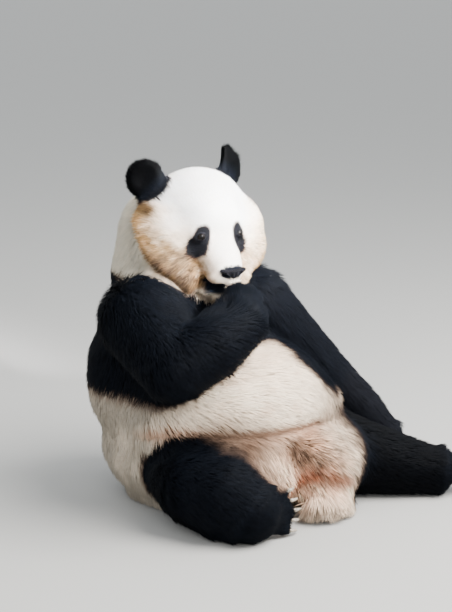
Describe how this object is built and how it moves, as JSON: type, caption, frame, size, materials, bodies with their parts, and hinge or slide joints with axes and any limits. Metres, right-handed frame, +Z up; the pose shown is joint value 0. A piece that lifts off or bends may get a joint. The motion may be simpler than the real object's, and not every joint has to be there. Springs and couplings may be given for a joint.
{
  "type": "giant panda",
  "caption": "Life-size still model of a sitting giant panda, one paw held to its mouth.",
  "frame": {"origin": "a point on the flat under the seat, below the middle of the belly", "axes": "+Z up, the body faces -Y, the animal's left side is +X; the head is turned 25 degrees to its right"},
  "size_m": [0.9847, 0.9616, 0.9172],
  "materials": {
    "black_fur": "long soft fur",
    "white_fur": "long soft cream fur",
    "face_fur": "short dense fur",
    "nose_leather": "pebbled, slightly moist",
    "eye": "wet and glossy",
    "claw_horn": "worn horn"
  },
  "bodies": {
    "root": {"belly": "white_fur", "chest": "black_fur", "claw_arm_left_1": "claw_horn", "claw_arm_left_2": "claw_horn", "claw_arm_left_3": "claw_horn", "claw_arm_left_4": "claw_horn", "claw_arm_left_5": "claw_horn", "claw_arm_right_1": "claw_horn", "claw_arm_right_2": "claw_horn", "claw_arm_right_3": "claw_horn", "claw_arm_right_4": "claw_horn", "claw_arm_right_5": "claw_horn", "claw_leg_left_1": "claw_horn", "claw_leg_left_2": "claw_horn", "claw_leg_left_3": "claw_horn", "claw_leg_left_4": "claw_horn", "claw_leg_left_5": "claw_horn", "claw_leg_right_1": "claw_horn", "claw_leg_right_2": "claw_horn", "claw_leg_right_3": "claw_horn", "claw_leg_right_4": "claw_horn", "claw_leg_right_5": "claw_horn", "ear_left": "black_fur", "ear_right": "black_fur", "eye_left": "eye", "eye_right": "eye", "foot_left": "black_fur", "foot_right": "black_fur", "forearm_left": "black_fur", "forearm_right": "black_fur", "hand_left": "black_fur", "hand_right": "black_fur", "head": "face_fur", "jaw": "face_fur", "neck": "white_fur", "nose": "nose_leather", "shin_left": "black_fur", "shin_right": "black_fur", "tail": "white_fur", "thigh_left": "black_fur", "thigh_right": "black_fur", "upper_arm_left": "black_fur", "upper_arm_right": "black_fur"}
  },
  "joints": []
}
